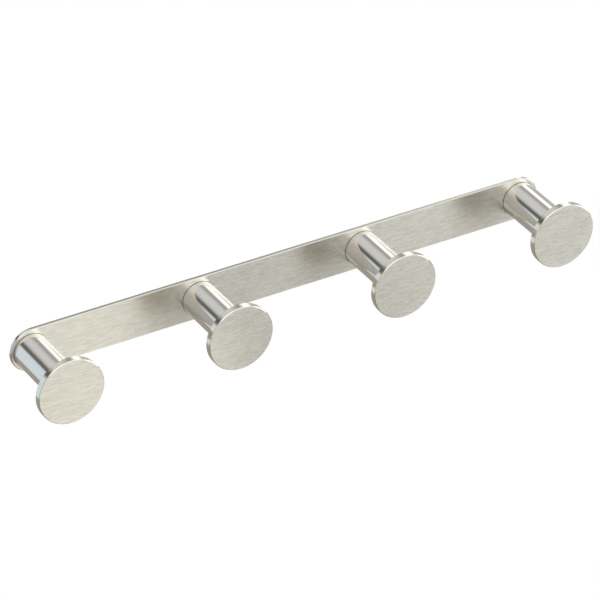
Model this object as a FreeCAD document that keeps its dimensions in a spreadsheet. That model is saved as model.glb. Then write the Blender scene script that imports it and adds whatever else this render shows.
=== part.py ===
import FreeCAD, Part
import math
import os
import re
import Sketcher

# Wall hook rack: a steel strip with rounded ends that carries a row of round pegs, each closed by a disc cap.
#
# The back of the strip lies on the wall at Y = 0, the pegs stand out towards -Y, X runs along the strip and
# Z is up. The origin is the centre of the strip's back face. Every peg is built the same way: a turned boss is
# held to the strip by two countersunk screws from behind, a tube slides over the boss and is locked by a grub
# screw from below, and a plug pressed into the front of the tube takes the threaded stud welded to the cap.

DRIVING_SIZES = [
    ("peg_count", 4, "pegs along the strip"),
    ("peg_spacing", 100.0, "from one peg's axis to the next"),
    ("strip_height", 25.4, "height of the strip, and diameter of its round ends"),
    ("end_inset", 0.9, "how far the centre of each round end lies inwards of the end peg's axis"),
    ("strip_thickness", 2.0, "thickness of the strip"),
    ("strip_front_bevel", 0.4, "bevel round the strip's front edge"),
    ("strip_back_bevel", 0.2, "bevel round the strip's back edge"),
    ("tube_diameter", 20.0, "outside of the peg's tube"),
    ("tube_length", 41.5, "from the strip's front face to the back of the cap"),
    ("tube_wall", 2.0, "wall of the peg's tube"),
    ("tube_bevel", 0.25, "bevel on the tube's outer edges"),
    ("cap_diameter", 38.0, "diameter of the disc cap"),
    ("cap_thickness", 4.0, "thickness of the disc cap"),
    ("cap_front_bevel", 0.4, "bevel round the cap's front edge"),
    ("cap_back_bevel", 0.25, "bevel round the cap's back edge"),
    ("boss_length", 13.0, "length of the boss inside the tube"),
    ("boss_gap", 0.05, "radial slide clearance between boss and tube"),
    ("boss_bevel", 0.8, "lead-in bevel on the boss"),
    ("wall_hole", 5.0, "hole for the wall screw, through the strip and the boss"),
    ("wall_head", 9.6, "countersink for the wall screw's head, in the boss"),
    ("grub_height", 8.2, "from the strip's front face to the grub screw's axis"),
    ("grub_diameter", 4.0, "thread of the grub screw"),
    ("grub_pitch", 0.7, "pitch of the grub screw's thread"),
    ("grub_inset", 0.25, "how far the grub screw's end lies below the tube's surface"),
    ("grub_key", 2.0, "hexagon socket of the grub screw, across flats"),
    ("grub_key_depth", 1.4, "depth of the grub screw's socket"),
    ("seat_depth", 1.1, "depth of the boss's V-groove for the grub screw"),
    ("seat_floor", 1.0, "width of the V-groove's floor"),
    ("seat_gap", 0.05, "clearance of the grub screw's point in the V-groove"),
    ("screw_offset", 5.5, "boss screws above and below the peg's axis"),
    ("screw_diameter", 3.0, "thread of the boss screws"),
    ("screw_pitch", 0.5, "pitch of the boss screws' thread"),
    ("screw_length", 6.0, "length of a boss screw, head included"),
    ("screw_hole", 3.2, "clearance hole for a boss screw in the strip"),
    ("screw_sink", 5.9, "countersink for a boss screw in the strip's back face"),
    ("screw_inset", 0.1, "how far a boss screw's head lies below the back face"),
    ("screw_key", 2.0, "hexagon socket of a boss screw, across flats"),
    ("screw_key_depth", 1.0, "depth of a boss screw's socket"),
    ("tapped_depth", 5.5, "depth of the boss's tapped holes"),
    ("tapped_gap", 0.025, "radial clearance of a thread's crests in its tapped hole"),
    ("plug_length", 11.0, "length of the plug in the front of the tube"),
    ("plug_inset", 0.5, "how far the plug lies behind the tube's front end"),
    ("plug_bevel", 0.5, "bevel on the plug's edges"),
    ("stud_diameter", 6.0, "thread of the cap's stud"),
    ("stud_pitch", 1.0, "pitch of the stud's thread"),
    ("stud_length", 10.0, "length of the stud behind the cap"),
    ("stud_flange", 7.5, "diameter of the stud's weld flange"),
    ("stud_flange_thickness", 1.0, "thickness of the stud's weld flange"),
    ("stud_pocket", 8.4, "pocket in the plug that clears the weld flange"),
    ("stud_pocket_depth", 1.5, "depth of that pocket"),
]
THREAD_DEPTH = 0.6  # depth of a thread's groove, as a share of its pitch
THREAD_START = 1.6  # plain length at each end of a thread, in pitches
EDGE_TOLERANCE = 1e-4

document = FreeCAD.newDocument("wall_hook_rack")
sheet = document.addObject("Spreadsheet::Sheet", "Sizes")
aliases = [alias for alias, size, note in DRIVING_SIZES]


def fill_sheet():
    """Each row of the sheet is a note and one driving dimension, in millimetres."""
    for row, (alias, size, note) in enumerate(DRIVING_SIZES, start=1):
        sheet.set(f"A{row}", note)
        sheet.set(f"B{row}", str(size))
        sheet.setAlias(f"B{row}", alias)
    document.recompute()


def bound(expression):
    """The expression with each alias written as the sheet's cell."""
    return re.sub(r"[a-z_]+", lambda word: "Sizes." + word[0] if word[0] in aliases else word[0], expression)


def bind(thing, **expressions):
    """Binds each named property of the object to the sheet. A double underscore stands for a dot."""
    for name, expression in expressions.items():
        thing.setExpression(name.replace("__", "."), bound(expression))


def new_body(label, rotation=FreeCAD.Rotation(), x="0", y="0", z="0"):
    body = document.addObject("PartDesign::Body", label)
    body.Label = label
    body.Placement.Rotation = rotation
    bind(body, Placement__Base__x=x, Placement__Base__y=y, Placement__Base__z=z)
    return body


def new_sketch(body, name, plane):
    """An empty sketch on one of the body's own origin planes."""
    sketch = body.newObject("Sketcher::SketchObject", name)
    origin_planes = [feature for feature in body.Origin.OriginFeatures if feature.Role == plane]
    sketch.AttachmentSupport = [(origin_planes[0], "")]
    sketch.MapMode = "FlatFace"
    return sketch


def hold_point(sketch, geometry, point, x, y):
    """Holds a sketch point at two expressions, measured from the sketch's origin."""
    rough = sketch.getPoint(geometry, point)
    places = (("DistanceX", "x", -2, x, rough.x), ("DistanceY", "y", -1, y, rough.y))
    for kind, letter, axis, expression, distance in places:
        if expression == "0":
            sketch.addConstraint(Sketcher.Constraint("PointOnObject", geometry, point, axis))
            continue
        name = f"{letter}_{geometry}"
        index = sketch.addConstraint(Sketcher.Constraint(kind, -1, 1, geometry, point, distance))
        sketch.renameConstraint(index, name)
        sketch.setExpression(f"Constraints.{name}", bound(expression))


def draw_outline(sketch, corners):
    """A closed outline through the corners. It is drawn roughly, and the constraints pull it to its sizes."""
    count = len(corners)
    turns = [2 * math.pi * corner / count for corner in range(count)]
    rough = [FreeCAD.Vector(5 + math.cos(turn), 5 + math.sin(turn), 0) for turn in turns]
    for corner in range(count):
        sketch.addGeometry(Part.LineSegment(rough[corner], rough[(corner + 1) % count]), False)
    for corner in range(count):
        sketch.addConstraint(Sketcher.Constraint("Coincident", corner, 2, (corner + 1) % count, 1))
    for corner, (x, y) in enumerate(corners):
        hold_point(sketch, corner, 1, x, y)


def draw_circle(sketch, diameter, x, y):
    circle = sketch.addGeometry(Part.Circle(FreeCAD.Vector(1, 1, 0), FreeCAD.Vector(0, 0, 1), 1), False)
    hold_point(sketch, circle, 3, x, y)
    name = f"diameter_{circle}"
    index = sketch.addConstraint(Sketcher.Constraint("Diameter", circle, 1.0))
    sketch.renameConstraint(index, name)
    sketch.setExpression(f"Constraints.{name}", bound(diameter))


def turn_profile(body, name, corners, kind="PartDesign::Revolution"):
    """Turns an outline about the body's Y axis. A corner is its radius and its place along the axis."""
    sketch = new_sketch(body, name + "_profile", "XY_Plane")
    draw_outline(sketch, corners)
    feature = body.newObject(kind, name)
    feature.Profile = sketch
    feature.ReferenceAxis = (sketch, ["V_Axis"])
    feature.Angle = 360
    document.recompute()
    return feature


def cut_thread(body, radius, first, last, pitch):
    """Rings at the thread's pitch, from first to last along the body's Y axis."""
    half = f"{pitch} * {THREAD_DEPTH} * 0.6"
    depth = f"{pitch} * {THREAD_DEPTH}"
    start = f"({first} + {pitch} * {THREAD_START})"
    crest = f"({radius}) * 1.01"
    corners = [(crest, f"{start} - {half}"), (f"{radius} - {depth}", start), (crest, f"{start} + {half}")]
    ring = turn_profile(body, "thread_ring", corners, "PartDesign::Groove")
    length = f"({last} - ({first}) - {pitch} * {2 * THREAD_START})"
    rings = body.newObject("PartDesign::LinearPattern", "thread")
    rings.Originals = [ring]
    rings.Direction = (ring.Profile[0], ["V_Axis"])
    bind(rings, Length=length, Occurrences=f"floor({length} / {pitch}) + 1")
    body.Tip = rings
    document.recompute()


def cut_pocket(body, name, sketch, depth, towards_minus_y=False):
    """A pocket from the sketch. It cuts towards the body's +Y from the XZ plane, unless told otherwise."""
    pocket = body.newObject("PartDesign::Pocket", name)
    pocket.Profile = sketch
    pocket.Reversed = towards_minus_y
    bind(pocket, Length=depth)
    document.recompute()
    return pocket


def cut_hexagon(body, key, depth, face, towards_minus_y=False):
    """A hexagon socket that starts at the given place along the body's Y axis."""
    sketch = new_sketch(body, "socket_outline", "XZ_Plane")
    bind(sketch, AttachmentOffset__Base__z=f"-({face})")
    point, shoulder, flat = f"{key} / sqrt(3)", f"{key} / sqrt(12)", f"{key} / 2"
    right = [(shoulder, f"-{flat}"), (point, "0"), (shoulder, flat)]
    left = [(f"-{shoulder}", flat), (f"-{point}", "0"), (f"-{shoulder}", f"-{flat}")]
    draw_outline(sketch, right + left)
    cut_pocket(body, "socket", sketch, depth, towards_minus_y)


def bevel_edges(body, name, base, size, wanted):
    """Bevels the edges of the feature whose every point passes the test."""
    edges = []
    for index, edge in enumerate(base.Shape.Edges, start=1):
        points = [edge.valueAt(at) for at in (edge.FirstParameter, edge.LastParameter)]
        if all(wanted(point) for point in points):
            edges.append(f"Edge{index}")
    bevel = body.newObject("PartDesign::Chamfer", name)
    bevel.Base = (base, edges)
    bind(bevel, Size=size)
    document.recompute()
    return bevel


def peg_x(peg):
    """The place of a peg's axis along the strip. Pegs count from 1, from the left."""
    return f"peg_spacing * ({peg} - (peg_count + 1) / 2)"


def peg_body(label, peg, z="0"):
    """A body on a peg's axis, drawn with its own +Y pointing straight out from the wall."""
    return new_body(label, FreeCAD.Rotation(FreeCAD.Vector(0, 0, 1), 180), x=peg_x(peg), z=z)


def make_strip():
    body = new_body("back_strip")
    outline = new_sketch(body, "strip_outline", "XZ_Plane")
    reach = sheet.peg_spacing * (sheet.peg_count - 1) / 2 - sheet.end_inset
    radius = sheet.strip_height / 2
    up, centre = FreeCAD.Vector(0, 0, 1), FreeCAD.Vector(reach, 0, 0)
    right = Part.ArcOfCircle(Part.Circle(centre, up, radius), -math.pi / 2, math.pi / 2)
    left = Part.ArcOfCircle(Part.Circle(-centre, up, radius), math.pi / 2, 3 * math.pi / 2)
    top = Part.LineSegment(FreeCAD.Vector(reach, radius, 0), FreeCAD.Vector(-reach, radius, 0))
    bottom = Part.LineSegment(FreeCAD.Vector(-reach, -radius, 0), FreeCAD.Vector(reach, -radius, 0))
    outline.addGeometry([right, top, left, bottom], False)
    for piece in range(4):
        outline.addConstraint(Sketcher.Constraint("Tangent", piece, 2, (piece + 1) % 4, 1))
    hold_point(outline, 0, 3, "peg_spacing * (peg_count - 1) / 2 - end_inset", "0")
    hold_point(outline, 2, 3, "end_inset - peg_spacing * (peg_count - 1) / 2", "0")
    round_end = outline.addConstraint(Sketcher.Constraint("Diameter", 0, 2.0 * radius))
    outline.renameConstraint(round_end, "round_end")
    bind(outline, Constraints__round_end="strip_height")
    blank = body.newObject("PartDesign::Pad", "blank")
    blank.Profile = outline
    bind(blank, Length="strip_thickness")
    document.recompute()

    front = -sheet.strip_thickness
    front_bevel = bevel_edges(
        body, "front_bevel", blank, "strip_front_bevel", lambda point: abs(point.y - front) < EDGE_TOLERANCE
    )
    bevel_edges(body, "back_bevel", front_bevel, "strip_back_bevel", lambda point: abs(point.y) < EDGE_TOLERANCE)

    wall_holes = new_sketch(body, "wall_hole_circles", "XZ_Plane")
    for side in ("-", ""):
        draw_circle(wall_holes, "wall_hole", f"{side}peg_spacing * (peg_count - 1) / 2", "0")
    cut_pocket(body, "wall_holes", wall_holes, "strip_thickness", towards_minus_y=True)

    circles = new_sketch(body, "screw_hole_circles", "XZ_Plane")
    for side in ("-", ""):
        draw_circle(circles, "screw_hole", peg_x(1), f"{side}screw_offset")
    document.recompute()
    holes = body.newObject("PartDesign::Hole", "screw_holes")
    holes.Profile = circles
    holes.Reversed = True
    holes.Threaded = False
    holes.DepthType = "ThroughAll"
    holes.HoleCutType = "Countersink"
    holes.HoleCutCustomValues = True
    holes.HoleCutCountersinkAngle = 90
    bind(holes, Diameter="screw_hole", HoleCutDiameter="screw_sink")
    document.recompute()
    rows = body.newObject("PartDesign::LinearPattern", "screw_hole_rows")
    rows.Originals = [holes]
    rows.Direction = (circles, ["H_Axis"])
    bind(rows, Length="peg_spacing * (peg_count - 1)", Occurrences="peg_count")
    body.Tip = rows
    document.recompute()
    return body


def make_boss(peg):
    """The turned boss that the tube slides over, with its V-groove, its wall hole and its two tapped holes."""
    body = peg_body(f"base_boss_{peg}", peg)
    radius = "(tube_diameter / 2 - tube_wall - boss_gap)"
    front = "strip_thickness + boss_length"
    sink = "(wall_head - wall_hole) / 2"
    corners = [
        ("wall_hole / 2", "strip_thickness"),
        (radius, "strip_thickness"),
        (radius, f"{front} - boss_bevel"),
        (f"{radius} - boss_bevel", front),
        ("wall_head / 2", front),
        ("wall_hole / 2", f"{front} - {sink}"),
    ]
    turn_profile(body, "blank", corners)
    centre, half = "strip_thickness + grub_height", "seat_floor / 2"
    seat = [
        (f"{radius} - seat_depth", f"{centre} - {half}"),
        (f"{radius} - seat_depth", f"{centre} + {half}"),
        (radius, f"{centre} + {half} + seat_depth"),
        (radius, f"{centre} - {half} - seat_depth"),
    ]
    turn_profile(body, "grub_seat", seat, "PartDesign::Groove")
    circles = new_sketch(body, "tapped_circles", "XZ_Plane")
    for side in ("-", ""):
        draw_circle(circles, "screw_diameter + 2 * tapped_gap", "0", f"{side}screw_offset")
    cut_pocket(body, "tapped_holes", circles, "strip_thickness + tapped_depth")
    return body


def make_boss_screw(peg, side, sign):
    """A countersunk screw that comes through the strip from behind."""
    body = peg_body(f"boss_screw_{peg}_{side}", peg, z=f"{sign}screw_offset")
    head, shank = "(screw_sink / 2 - screw_inset)", "screw_diameter / 2"
    cone_end = f"screw_inset + {head} - {shank}"
    tip = "screw_inset + screw_length"
    corners = [
        ("0", "screw_inset"),
        (head, "screw_inset"),
        (shank, cone_end),
        (shank, f"{tip} - screw_pitch"),
        (f"{shank} - screw_pitch", tip),
        ("0", tip),
    ]
    turn_profile(body, "blank", corners)
    cut_hexagon(body, "screw_key", "screw_key_depth", "screw_inset")
    cut_thread(body, shank, cone_end, tip, "screw_pitch")
    return body


def make_tube(peg):
    """The peg's tube, with the tapped hole for its grub screw on the underside."""
    body = peg_body(f"post_tube_{peg}", peg)
    outside, bore = "tube_diameter / 2", "tube_diameter / 2 - tube_wall"
    back, front = "strip_thickness", "strip_thickness + tube_length"
    corners = [
        (bore, back),
        (f"{outside} - tube_bevel", back),
        (outside, f"{back} + tube_bevel"),
        (outside, f"{front} - tube_bevel"),
        (f"{outside} - tube_bevel", front),
        (bore, front),
    ]
    turn_profile(body, "blank", corners)
    circle = new_sketch(body, "grub_hole_circle", "XY_Plane")
    draw_circle(circle, "grub_diameter + 2 * tapped_gap", "0", "strip_thickness + grub_height")
    cut_pocket(body, "grub_hole", circle, "tube_diameter")
    return body


def make_grub_screw(peg):
    """The grub screw under a peg. Its own +Y points down, from the peg's axis to its socket."""
    downwards = FreeCAD.Rotation(FreeCAD.Vector(1, 0, 0), -90)
    body = new_body(f"grub_screw_{peg}", downwards, x=peg_x(peg), y="-(strip_thickness + grub_height)")
    floor = "(tube_diameter / 2 - tube_wall - boss_gap - seat_depth)"
    radius, point = "grub_diameter / 2", "(seat_floor / 2 - seat_gap)"
    tip, end = f"{floor} + seat_gap", "tube_diameter / 2 - grub_inset"
    cone_end = f"{tip} + {radius} - {point}"
    corners = [
        ("0", tip),
        (point, tip),
        (radius, cone_end),
        (radius, f"{end} - seat_gap"),
        (f"{radius} - seat_gap", end),
        ("0", end),
    ]
    turn_profile(body, "blank", corners)
    cut_hexagon(body, "grub_key", "grub_key_depth", end, towards_minus_y=True)
    cut_thread(body, radius, f"{cone_end} - grub_pitch", f"{end} + grub_pitch", "grub_pitch")
    return body


def make_plug(peg):
    """The plug pressed into the front of the tube, with the thread for the cap's stud."""
    body = peg_body(f"front_plug_{peg}", peg)
    outside = "tube_diameter / 2 - tube_wall"
    front = "strip_thickness + tube_length - plug_inset"
    back = f"{front} - plug_length"
    thread = "stud_diameter / 2 + tapped_gap"
    corners = [
        (thread, back),
        (f"{outside} - plug_bevel", back),
        (outside, f"{back} + plug_bevel"),
        (outside, f"{front} - plug_bevel"),
        (f"{outside} - plug_bevel", front),
        ("stud_pocket / 2", front),
        ("stud_pocket / 2", f"{front} - stud_pocket_depth"),
        (thread, f"{front} - stud_pocket_depth"),
    ]
    turn_profile(body, "blank", corners)
    return body


def make_stud(peg):
    """The threaded stud whose flange is welded to the middle of the cap's back."""
    body = peg_body(f"cap_stud_{peg}", peg)
    cap_back = "strip_thickness + tube_length"
    tip, shank = f"{cap_back} - stud_length", "stud_diameter / 2"
    flange = f"{cap_back} - stud_flange_thickness"
    corners = [
        ("0", tip),
        (f"{shank} - stud_pitch", tip),
        (shank, f"{tip} + stud_pitch"),
        (shank, flange),
        ("stud_flange / 2", flange),
        ("stud_flange / 2", cap_back),
        ("0", cap_back),
    ]
    turn_profile(body, "blank", corners)
    cut_thread(body, shank, tip, flange, "stud_pitch")
    return body


def make_cap(peg):
    """The disc that closes a peg and stops what hangs on it from sliding off."""
    body = peg_body(f"cap_disc_{peg}", peg)
    back = "strip_thickness + tube_length"
    front, rim = f"{back} + cap_thickness", "cap_diameter / 2"
    corners = [
        ("0", back),
        (f"{rim} - cap_back_bevel", back),
        (rim, f"{back} + cap_back_bevel"),
        (rim, f"{front} - cap_front_bevel"),
        (f"{rim} - cap_front_bevel", front),
        ("0", front),
    ]
    turn_profile(body, "blank", corners)
    return body


def check_model(bodies):
    """Stops before anything is written if a feature failed or a sub-part isn't one valid closed solid."""
    failed = [thing.Name for thing in document.Objects if "Invalid" in thing.State or "Error" in thing.State]
    if failed:
        raise RuntimeError(f"failed features: {failed}")
    for body in bodies:
        shape = body.Shape
        if shape.isNull() or not shape.isValid() or len(shape.Solids) != 1:
            raise RuntimeError(f"{body.Label} isn't one valid solid")


def main():
    fill_sheet()
    bodies = [make_strip()]
    for peg in range(1, int(sheet.peg_count) + 1):
        bodies.append(make_boss(peg))
        bodies.append(make_boss_screw(peg, "upper", ""))
        bodies.append(make_boss_screw(peg, "lower", "-"))
        bodies.append(make_tube(peg))
        bodies.append(make_grub_screw(peg))
        bodies.append(make_plug(peg))
        bodies.append(make_stud(peg))
        bodies.append(make_cap(peg))
    document.recompute()
    check_model(bodies)
    os.makedirs("parts", exist_ok=True)
    for body in bodies:
        body.Shape.exportStep(f"parts/{body.Label}.step")
        print(f"{body.Label}: {body.Shape.Volume:.1f} mm3")


main()
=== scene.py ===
import math

import bpy
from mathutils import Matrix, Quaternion, Vector

MM = 0.001

# Metal colours, linear
BRUSHED_STEEL = (0.79, 0.785, 0.70)
POLISHED_STEEL = (0.80, 0.785, 0.745)
TURNED_STEEL = (0.60, 0.59, 0.57)
ZINC_PLATE = (0.58, 0.60, 0.63)
CAP_BACK_PAINTED_SHADE = (0.60, 0.53, 0.47)  # painted shade: the caps' backs coloured darker and warmer than their brushed fronts, for the darker floor they mirror
CAP_BACK_SHADE_DEPTHS = (-43.9 * MM, -43.6 * MM)  # depths between which the caps' painted back shade sets in

# Brushed finish of the strip's and the caps' flat faces
FACE_ROUGHNESS = 0.29
STRIP_EDGE_ROUGHNESS = 0.12
CAP_EDGE_ROUGHNESS = 0.10
STREAK_LENGTH = 5.5 * MM
STREAK_WIDTH = 0.8 * MM
STRIP_EDGE_PAINTED_SHADE = 0.84  # painted shade: how much darker the strip's edges are painted than its face
RIM_PAINTED_HIGHLIGHT = 1.18  # painted highlight: how much brighter the rim zone is painted than the face
TUBE_FOOT_PAINTED_SHADOW = 0.45  # painted contact shadow: how dark the line round each tube's foot is painted against the face

# Polished tubes, and the other metals
TUBE_ROUGHNESS = 0.13
TUBE_FOOT_SHADE_DEPTHS = (-2.45 * MM, -2.2 * MM)  # depths between which a tube is painted darker at its foot, a painted contact shade
TURNED_ROUGHNESS = 0.3
ZINC_ROUGHNESS = 0.32

# Camera: it stands to the left, in front and above, and looks down at the rack from afar
CAMERA_PLACE = Vector((-1.04841, -1.83386, 1.33141))
CAMERA_AIM = Vector((0.0054, -0.0128, -0.0132))
CAMERA_ROLL = math.radians(-0.16)
CAMERA_LENS = 280.58

FLOOR_DROP = 0.55  # how far the floor lies below the rack
FLOOR_SIZE = 12.0
FLOOR_GLOW = 0.215  # brings the lit floor up to plain white
BACKDROP = (0.93, 0.93, 0.93)

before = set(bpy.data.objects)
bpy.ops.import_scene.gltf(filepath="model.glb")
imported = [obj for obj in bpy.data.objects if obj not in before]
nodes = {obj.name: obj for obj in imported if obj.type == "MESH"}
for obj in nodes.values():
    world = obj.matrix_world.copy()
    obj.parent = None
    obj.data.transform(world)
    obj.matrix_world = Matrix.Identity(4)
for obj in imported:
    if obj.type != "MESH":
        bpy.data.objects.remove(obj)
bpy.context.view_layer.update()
PEGS = range(1, 1 + sum(name.startswith("post_tube_") for name in nodes))


# ---------------------------------------------------------------- node helpers


class Nodes:
    """A node tree with short calls to add and join its nodes."""

    def __init__(self, tree):
        self.tree = tree

    def add(self, kind, inputs=None, **settings):
        node = self.tree.nodes.new(kind)
        for name, value in settings.items():
            setattr(node, name, value)
        for name, value in (inputs or {}).items():
            self.feed(node.inputs[name], value)
        return node

    def feed(self, socket, value):
        """Puts a number, a colour or another node's output into a socket."""
        if isinstance(value, bpy.types.NodeSocket):
            self.tree.links.new(value, socket)
        else:
            socket.default_value = value

    def math(self, operation, first, second=0.0):
        node = self.add("ShaderNodeMath", operation=operation)
        self.feed(node.inputs[0], first)
        self.feed(node.inputs[1], second)
        return node.outputs[0]

    def ramp(self, value, low, high, to_low=0.0, to_high=1.0):
        """Eases from one value to another as its input goes from low to high."""
        node = self.add("ShaderNodeMapRange", interpolation_type="SMOOTHSTEP", clamp=True)
        self.feed(node.inputs["Value"], value)
        self.feed(node.inputs["From Min"], low)
        self.feed(node.inputs["From Max"], high)
        self.feed(node.inputs["To Min"], to_low)
        self.feed(node.inputs["To Max"], to_high)
        return node.outputs["Result"]

    def noise(self, vector, scale, detail, roughness=0.5):
        settings = {"Vector": vector, "Scale": scale, "Detail": detail, "Roughness": roughness}
        return self.add("ShaderNodeTexNoise", settings).outputs["Fac"]

    def bump(self, shader, height, strength, distance):
        """Turns a height into the shader's normal."""
        node = self.add("ShaderNodeBump", {"Height": height, "Strength": strength, "Distance": distance})
        self.feed(shader.inputs["Normal"], node.outputs[0])

    def shaded_colour(self, shader, base, shade):
        """The base colour made lighter or darker by a shade around 1."""
        grey = self.add("ShaderNodeCombineColor", {"Red": shade, "Green": shade, "Blue": shade})
        self.feed(shader.inputs["Base Color"], self.blend(1.0, base, grey.outputs[0], "MULTIPLY"))

    def blend(self, mask, under, over, blend_type="MIX"):
        node = self.add("ShaderNodeMix", data_type="RGBA", blend_type=blend_type)
        self.feed(node.inputs["Factor"], mask)
        self.feed(node.inputs[6], under)
        self.feed(node.inputs[7], over)
        return node.outputs[2]


def colour(rgb, times=1.0):
    return (rgb[0] * times, rgb[1] * times, rgb[2] * times, 1.0)


def new_group(name, inputs, outputs):
    """A shader group with named sockets. Gives its tree and its inner input and output nodes."""
    tree = bpy.data.node_groups.new(name, "ShaderNodeTree")
    for label, kind, default in inputs:
        socket = tree.interface.new_socket(label, in_out="INPUT", socket_type=kind)
        if default is not None:
            socket.default_value = default
    for label, kind in outputs:
        tree.interface.new_socket(label, in_out="OUTPUT", socket_type=kind)
    inner = Nodes(tree)
    return inner, inner.add("NodeGroupInput"), inner.add("NodeGroupOutput")


def place_group(nodes_here, group, inputs=None):
    node = nodes_here.add("ShaderNodeGroup", node_tree=group)
    for name, value in (inputs or {}).items():
        nodes_here.feed(node.inputs[name], value)
    return node


# ---------------------------------------------------------------- shared effects


def make_streak_group():
    """Brushing marks: streaks of a given length and width along X. A Mapping before it turns them."""
    inner, entry, leave = new_group(
        "brushing_marks",
        [
            ("Vector", "NodeSocketVector", None),
            ("Length", "NodeSocketFloat", 0.004),
            ("Width", "NodeSocketFloat", 0.0005),
        ],
        [("Streaks", "NodeSocketFloat"), ("Fine Streaks", "NodeSocketFloat")],
    )
    split = inner.add("ShaderNodeSeparateXYZ", {"Vector": entry.outputs["Vector"]})
    along = inner.math("DIVIDE", split.outputs["X"], entry.outputs["Length"])
    across = inner.math("DIVIDE", split.outputs["Z"], entry.outputs["Width"])
    deep = inner.math("DIVIDE", split.outputs["Y"], entry.outputs["Width"])
    flat = inner.add("ShaderNodeCombineXYZ", {"X": along, "Y": deep, "Z": across})
    broad = inner.noise(flat.outputs[0], 1.0, detail=1.0, roughness=0.5)
    fine = inner.noise(flat.outputs[0], 2.7, detail=3.0, roughness=0.65)
    inner.feed(leave.inputs["Streaks"], broad)
    inner.feed(leave.inputs["Fine Streaks"], fine)
    return inner.tree


def make_handling_group():
    """Faint cloudy marks that handling leaves on metal."""
    inner, entry, leave = new_group(
        "handling_marks",
        [("Vector", "NodeSocketVector", None), ("Size", "NodeSocketFloat", 0.02)],
        [("Marks", "NodeSocketFloat")],
    )
    scale = inner.math("DIVIDE", 1.0, entry.outputs["Size"])
    cloud = inner.noise(entry.outputs["Vector"], scale, detail=4.0)
    inner.feed(leave.inputs["Marks"], inner.ramp(cloud, 0.35, 0.7))
    return inner.tree


def make_face_group():
    """Which part of a piece is a flat face, square to the room and wall, and which is an edge or a bevel."""
    inner, entry, leave = new_group("flat_face_mask", [], [("Face", "NodeSocketFloat")])
    normal = inner.add("ShaderNodeNewGeometry").outputs["Normal"]
    split = inner.add("ShaderNodeSeparateXYZ", {"Vector": normal})
    squareness = inner.math("ABSOLUTE", split.outputs["Y"])
    inner.feed(leave.inputs["Face"], inner.ramp(squareness, 0.9, 0.98))
    return inner.tree


def distance_from_axis(inner, across, up):
    flat = inner.add("ShaderNodeCombineXYZ", {"X": across, "Y": up})
    return inner.add("ShaderNodeVectorMath", {0: flat.outputs[0]}, operation="LENGTH").outputs["Value"]


def make_foot_shadow_group():
    """Painted contact shadow: the thin dark line where each tube stands on the strip's front."""
    inner, entry, leave = new_group(
        "painted_tube_foot_shadow",
        [
            ("Vector", "NodeSocketVector", None),
            ("Spacing", "NodeSocketFloat", 0.1),
            ("Radius", "NodeSocketFloat", 0.01),
            ("Line Width", "NodeSocketFloat", 0.0004),
        ],
        [("Seam", "NodeSocketFloat")],
    )
    split = inner.add("ShaderNodeSeparateXYZ", {"Vector": entry.outputs["Vector"]})
    half = inner.math("DIVIDE", entry.outputs["Spacing"], 2.0)
    beside = inner.math("SUBTRACT", half, inner.math("PINGPONG", split.outputs["X"], half))
    outside = distance_from_axis(inner, beside, split.outputs["Z"])
    outside = inner.math("SUBTRACT", outside, entry.outputs["Radius"])
    line = inner.ramp(outside, 0.0, entry.outputs["Line Width"], 1.0, 0.0)
    front = inner.ramp(split.outputs["Y"], -1.5 * MM, -1.0 * MM, 1.0, 0.0)
    inner.feed(leave.inputs["Seam"], inner.math("MULTIPLY", line, front))
    return inner.tree


def make_rim_highlight_group():
    """A narrow zone along the strip's outline, painted brighter as a highlight."""
    inner, entry, leave = new_group(
        "strip_rim_painted_highlight",
        [
            ("Vector", "NodeSocketVector", None),
            ("Half Length", "NodeSocketFloat", 0.149),
            ("End Radius", "NodeSocketFloat", 0.0127),
            ("Zone Width", "NodeSocketFloat", 0.0011),
        ],
        [("Rim Highlight", "NodeSocketFloat")],
    )
    split = inner.add("ShaderNodeSeparateXYZ", {"Vector": entry.outputs["Vector"]})
    past_end = inner.math("ABSOLUTE", split.outputs["X"])
    past_end = inner.math("SUBTRACT", past_end, entry.outputs["Half Length"])
    past_end = inner.math("MAXIMUM", past_end, 0.0)
    outwards = distance_from_axis(inner, past_end, split.outputs["Z"])
    inwards = inner.math("SUBTRACT", entry.outputs["End Radius"], outwards)
    inner.feed(leave.inputs["Rim Highlight"], inner.ramp(inwards, 0.0, entry.outputs["Zone Width"], 1.0, 0.0))
    return inner.tree


STREAKS = make_streak_group()
HANDLING = make_handling_group()
FLAT_FACE = make_face_group()
FOOT_SHADOW_GROUP = make_foot_shadow_group()
RIM_HIGHLIGHT_GROUP = make_rim_highlight_group()


# ---------------------------------------------------------------- finishes


def new_metal(name, base, roughness):
    """A bare metal material with its shader, ready for its patterns."""
    material = bpy.data.materials.new(name)
    material.use_nodes = True
    material.node_tree.nodes.clear()
    made = Nodes(material.node_tree)
    settings = {"Base Color": colour(base), "Metallic": 1.0, "Roughness": roughness}
    shader = made.add("ShaderNodeBsdfPrincipled", settings)
    output = made.add("ShaderNodeOutputMaterial")
    made.feed(output.inputs["Surface"], shader.outputs[0])
    place = made.add("ShaderNodeTexCoord").outputs["Object"]
    material.diffuse_color = colour(base)
    return material, made, shader, place


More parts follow.
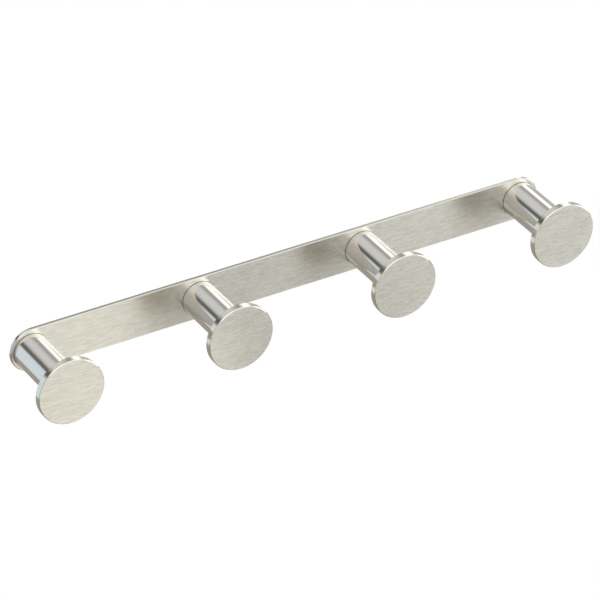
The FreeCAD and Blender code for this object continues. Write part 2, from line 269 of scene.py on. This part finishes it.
def brushed_face_metal(name, edge_roughness, strip):
    """Flat faces brushed along X, with polished edges. The strip gets painted shade at its edges and round
    each tube's foot, and a painted highlight along its rim; a cap's back gets painted shade.
    """
    material, made, shader, place = new_metal(name, BRUSHED_STEEL, FACE_ROUGHNESS)
    marking = {"Vector": place, "Length": STREAK_LENGTH, "Width": STREAK_WIDTH}
    streak = place_group(made, STREAKS, marking)
    face = place_group(made, FLAT_FACE).outputs["Face"]
    marks = place_group(made, HANDLING, {"Vector": place, "Size": 0.03}).outputs["Marks"]
    streaks, fine = streak.outputs["Streaks"], streak.outputs["Fine Streaks"]

    shade = made.ramp(streaks, 0.25, 0.75, 0.91, 1.07)
    shade = made.math("MULTIPLY", shade, made.ramp(fine, 0.3, 0.7, 0.97, 1.03))
    shade = made.math("ADD", made.math("MULTIPLY", made.math("SUBTRACT", shade, 1.0), face), 1.0)
    if strip:
        base = colour(BRUSHED_STEEL)
        # Painted contact shadow: a dark line round each tube's foot.
        foot_shadow = place_group(made, FOOT_SHADOW_GROUP, {"Vector": place}).outputs["Seam"]
        shade = made.math("MULTIPLY", shade, made.ramp(foot_shadow, 0.0, 1.0, 1.0, TUBE_FOOT_PAINTED_SHADOW))
        # Painted shade: the strip's edges are coloured darker than its face.
        shade = made.math("MULTIPLY", shade, made.ramp(face, 0.0, 1.0, STRIP_EDGE_PAINTED_SHADE, 1.0))
        # Painted highlight: a narrow zone along the strip's rim is coloured brighter.
        rim_highlight = place_group(made, RIM_HIGHLIGHT_GROUP, {"Vector": place}).outputs["Rim Highlight"]
        rim_highlight_on_face = made.math("MULTIPLY", rim_highlight, face)
        shade = made.math("MULTIPLY", shade, made.ramp(rim_highlight_on_face, 0.0, 0.6, 1.0, RIM_PAINTED_HIGHLIGHT))
    else:
        # Painted shade: a cap's back is coloured darker and warmer, for the darker floor it mirrors.
        depth = made.add("ShaderNodeSeparateXYZ", {"Vector": place}).outputs["Y"]
        back_shade = made.ramp(depth, *CAP_BACK_SHADE_DEPTHS)
        base = made.blend(back_shade, colour(BRUSHED_STEEL), colour(CAP_BACK_PAINTED_SHADE))
    made.shaded_colour(shader, base, shade)

    rough = made.ramp(fine, 0.3, 0.7, FACE_ROUGHNESS - 0.04, FACE_ROUGHNESS + 0.05)
    rough = made.math("ADD", rough, made.math("MULTIPLY", marks, 0.02))
    made.feed(shader.inputs["Roughness"], made.ramp(face, 0.0, 1.0, edge_roughness, rough))

    height = made.math("MULTIPLY", made.math("ADD", fine, streaks), face)
    made.bump(shader, height, 0.6, 0.005 * MM)
    shader.inputs["Anisotropic"].default_value = 0.8
    shader.inputs["Anisotropic Rotation"].default_value = 0.25
    return material


def polished_tube_metal():
    """Polished along the tube, with faint lengthwise marks, handling marks and painted contact shade at its
    foot.
    """
    material, made, shader, place = new_metal("polished_tube_steel", POLISHED_STEEL, TUBE_ROUGHNESS)
    lengthwise = made.add("ShaderNodeMapping", {"Vector": place, "Rotation": (0.0, 0.0, math.radians(90))})
    marking = {"Vector": lengthwise.outputs[0], "Length": 12 * MM, "Width": 0.6 * MM}
    streak = place_group(made, STREAKS, marking)
    depth = made.add("ShaderNodeSeparateXYZ", {"Vector": place}).outputs["Y"]
    foot_shade = made.ramp(depth, *TUBE_FOOT_SHADE_DEPTHS)
    marks = place_group(made, HANDLING, {"Vector": place, "Size": 0.012}).outputs["Marks"]
    rough = made.ramp(streak.outputs["Fine Streaks"], 0.2, 0.8, 0.10, 0.15)
    made.feed(shader.inputs["Roughness"], made.math("ADD", rough, made.math("MULTIPLY", marks, 0.02)))
    made.bump(shader, streak.outputs["Streaks"], 0.3, 0.004 * MM)
    shade = made.ramp(streak.outputs["Streaks"], 0.2, 0.8, 0.98, 1.02)
    # Painted contact shade: the tube is coloured darker at its foot.
    shade = made.math("MULTIPLY", shade, made.ramp(foot_shade, 0.0, 1.0, 1.0, 0.5))
    made.shaded_colour(shader, colour(POLISHED_STEEL), shade)
    return material


def turned_metal():
    """Fine rings left by the lathe, along the peg's axis."""
    material, made, shader, place = new_metal("turned_steel_rings", TURNED_STEEL, TURNED_ROUGHNESS)
    split = made.add("ShaderNodeSeparateXYZ", {"Vector": place})
    depth = made.add("ShaderNodeCombineXYZ", {"X": split.outputs["Y"]})
    rings = made.noise(depth.outputs[0], 9000.0, detail=1.0)
    made.feed(shader.inputs["Roughness"], made.ramp(rings, 0.3, 0.7, 0.24, 0.38))
    made.bump(shader, rings, 0.5, 0.008 * MM)
    return material


def zinc_metal():
    """Bright zinc plating with a fine mottle, for the screws and studs."""
    material, made, shader, place = new_metal("zinc_plated_screw", ZINC_PLATE, ZINC_ROUGHNESS)
    grain = made.noise(place, 1800.0, detail=3.0)
    made.feed(shader.inputs["Roughness"], made.ramp(grain, 0.3, 0.7, 0.26, 0.42))
    made.shaded_colour(shader, colour(ZINC_PLATE), made.ramp(grain, 0.3, 0.7, 0.93, 1.05))
    made.bump(shader, grain, 0.4, 0.006 * MM)
    return material


def finish_piece(name, material):
    nodes[name].material_slots[0].material = material


def finish_all_pieces():
    strip = brushed_face_metal("brushed_strip_steel", STRIP_EDGE_ROUGHNESS, strip=True)
    cap = brushed_face_metal("brushed_cap_steel", CAP_EDGE_ROUGHNESS, strip=False)
    tube, turned, zinc = polished_tube_metal(), turned_metal(), zinc_metal()
    finish_piece("back_strip", strip)
    for peg in PEGS:
        finish_piece(f"cap_disc_{peg}", cap)
        finish_piece(f"post_tube_{peg}", tube)
        finish_piece(f"base_boss_{peg}", turned)
        finish_piece(f"front_plug_{peg}", turned)
        finish_piece(f"cap_stud_{peg}", zinc)
        finish_piece(f"grub_screw_{peg}", zinc)
        finish_piece(f"boss_screw_{peg}_upper", zinc)
        finish_piece(f"boss_screw_{peg}_lower", zinc)


# ---------------------------------------------------------------- studio


def make_window_group():
    """A soft-edged window in the studio's surroundings, in degrees of azimuth and elevation."""
    names = ["Azimuth", "Elevation", "Left", "Right", "Left Softness", "Right Softness"]
    names += ["Bottom", "Top", "Bottom Softness", "Top Softness"]
    inner, entry, leave = new_group(
        "studio_window", [(name, "NodeSocketFloat", 0.0) for name in names], [("Mask", "NodeSocketFloat")]
    )
    masks = []
    for angle, low, high in (("Azimuth", "Left", "Right"), ("Elevation", "Bottom", "Top")):
        value = entry.outputs[angle]
        for edge, rising in ((low, True), (high, False)):
            soft = entry.outputs[edge + " Softness"]
            start = inner.math("SUBTRACT", entry.outputs[edge], soft)
            end = inner.math("ADD", entry.outputs[edge], soft)
            masks.append(inner.ramp(value, start, end, 0.0 if rising else 1.0, 1.0 if rising else 0.0))
    sides = inner.math("MULTIPLY", masks[0], masks[1])
    heights = inner.math("MULTIPLY", masks[2], masks[3])
    inner.feed(leave.inputs["Mask"], inner.math("MULTIPLY", sides, heights))
    return inner.tree


# Each window: azimuth from, to, softness of both sides; elevation from, to, softness of both; colour;
# brightness. Later ones cover earlier ones. Behind the rack azimuth 0 is straight behind it, and before
# the rack it is straight before it. 90 is to its right.
WINDOWS_BEHIND = [
    ("back wall", (-95, 95, 1, 1), (-28.5, 95, 2, 1), (1.0, 1.0, 1.0), 0.57),
    ("pale left wall", (-95, -29, 1, 3), (-27.0, 95, 2, 1), (0.87, 0.985, 1.09), 0.86),
    ("upper wall", (-95, 31, 1, 2), (19, 95, 4, 1), (1.0, 1.0, 1.0), 0.72),
    ("dim upper right", (17, 33, 14, 2), (8, 50, 3, 12), (1.0, 0.99, 0.96), 0.36),
    ("dark band, upper left", (-80, 8, 8, 8), (19.3, 33.6, 4.0, 5.0), (1.0, 0.98, 0.94), 0.12),
    ("grey wall, far right", (44, 95, 2, 1), (-28.5, 70, 2, 6), (1.0, 1.0, 1.0), 0.50),
    ("white window, right", (33.3, 42.6, 5.0, 2.0), (12, 70, 5.5, 6), (1.0, 1.0, 1.0), 1.5),
]
WINDOWS_BEFORE = [
    ("floor", (-95, 95, 1, 1), (-95, -24, 1, 4), (1.0, 0.90, 0.80), 0.30),
    ("front wall", (-95, 95, 1, 1), (-25, 95, 4, 1), (0.98, 1.0, 1.04), 0.60),
    ("front wall, bright right part", (18, 95, 16, 1), (-22, 25, 5, 8), (0.98, 1.0, 1.03), 1.75),
    ("upper wall, right", (12, 95, 12, 1), (28, 95, 6, 1), (1.0, 1.0, 1.0), 1.12),
    ("peach wall, left", (-48, -14, 8, 8), (8, 27, 5, 4), (1.0, 0.80, 0.68), 0.72),
    ("upper softbox", (-95, 12, 1, 14), (31, 80, 6, 8), (1.0, 1.0, 1.0), 1.3),
]
FLOOR_SHADE = ((1.0, 0.885, 0.79), 0.40)


def make_surroundings():
    """What the metal mirrors: a dim warm floor, pale walls with a few windows, and one dark band."""
    world = bpy.data.worlds.new("studio_surroundings")
    world.use_nodes = True
    world.node_tree.nodes.clear()
    made = Nodes(world.node_tree)
    direction = made.add("ShaderNodeTexCoord").outputs["Generated"]
    split = made.add("ShaderNodeSeparateXYZ", {"Vector": direction})
    across, inwards, up = split.outputs["X"], split.outputs["Y"], split.outputs["Z"]
    elevation = made.math("MULTIPLY", made.math("ARCSINE", up), math.degrees(1))
    window_group = make_window_group()
    light = colour(*FLOOR_SHADE)
    for depth, windows in ((inwards, WINDOWS_BEHIND), (made.math("MULTIPLY", inwards, -1.0), WINDOWS_BEFORE)):
        azimuth = made.math("MULTIPLY", made.math("ARCTAN2", across, depth), math.degrees(1))
        for name, sides, heights, tint, brightness in windows:
            left, right, left_soft, right_soft = sides
            bottom, top, bottom_soft, top_soft = heights
            window = place_group(made, window_group, {
                "Azimuth": azimuth, "Elevation": elevation,
                "Left": left, "Right": right, "Left Softness": left_soft, "Right Softness": right_soft,
                "Bottom": bottom, "Top": top, "Bottom Softness": bottom_soft, "Top Softness": top_soft,
            })
            window.label = name
            light = made.blend(window.outputs["Mask"], light, colour(tint, brightness))
    seen = made.add("ShaderNodeLightPath").outputs["Is Camera Ray"]
    light = made.blend(seen, light, colour(BACKDROP))
    background = made.add("ShaderNodeBackground", {"Color": light, "Strength": 1.0})
    output = made.add("ShaderNodeOutputWorld")
    made.feed(output.inputs["Surface"], background.outputs[0])
    bpy.context.scene.world = world


def make_floor():
    """A pale floor well below the rack, seen by the camera only, and see-through from below."""
    bpy.ops.mesh.primitive_plane_add(size=FLOOR_SIZE, location=(0.0, 0.0, -FLOOR_DROP))
    floor = bpy.context.object
    floor.name = "studio_floor"
    material = bpy.data.materials.new("pale_floor")
    material.use_nodes = True
    shader = material.node_tree.nodes["Principled BSDF"]
    shader.inputs["Base Color"].default_value = colour((0.9, 0.9, 0.9))
    shader.inputs["Roughness"].default_value = 0.9
    shader.inputs["Emission Color"].default_value = colour((1.0, 1.0, 1.0))
    shader.inputs["Emission Strength"].default_value = FLOOR_GLOW
    made = Nodes(material.node_tree)
    clear = made.add("ShaderNodeBsdfTransparent")
    seen_from_below = made.add("ShaderNodeNewGeometry").outputs["Backfacing"]
    sides = made.add("ShaderNodeMixShader")
    made.feed(sides.inputs[0], seen_from_below)
    made.feed(sides.inputs[1], shader.outputs[0])
    made.feed(sides.inputs[2], clear.outputs[0])
    made.feed(material.node_tree.nodes["Material Output"].inputs["Surface"], sides.outputs[0])
    floor.data.materials.append(material)
    floor.visible_glossy = False
    floor.visible_diffuse = False


def make_soft_light(name, place, aim, width, height, power, tint):
    data = bpy.data.lights.new(name, "AREA")
    data.shape = "RECTANGLE"
    data.size, data.size_y = width, height
    data.energy, data.color = power, tint
    light = bpy.data.objects.new(name, data)
    light.location = place
    light.rotation_mode = "QUATERNION"
    light.rotation_quaternion = (Vector(aim) - Vector(place)).to_track_quat("-Z", "Y")
    light.visible_camera = False
    bpy.context.scene.collection.objects.link(light)


def make_camera():
    data = bpy.data.cameras.new("product_camera")
    data.lens, data.sensor_width = CAMERA_LENS, 36.0
    data.clip_end = 50.0
    camera = bpy.data.objects.new("product_camera", data)
    camera.location = CAMERA_PLACE
    camera.rotation_mode = "QUATERNION"
    look = (CAMERA_AIM - CAMERA_PLACE).to_track_quat("-Z", "Y")
    camera.rotation_quaternion = look @ Quaternion((0.0, 0.0, 1.0), CAMERA_ROLL)
    bpy.context.scene.collection.objects.link(camera)
    bpy.context.scene.camera = camera


finish_all_pieces()
make_surroundings()
make_floor()
make_soft_light(
    "left_reflector", place=(-0.03, -0.256, -0.185), aim=(-0.15, 0.0, 0.0),
    width=0.16, height=0.16, power=0.040, tint=(1.0, 0.96, 0.88),
)
make_soft_light(
    "right_reflector", place=(0.27, -0.256, -0.19), aim=(0.12, 0.0, 0.0),
    width=0.18, height=0.16, power=0.011, tint=(1.0, 1.0, 1.0),
)
make_camera()
bpy.context.scene.view_settings.view_transform = "Standard"
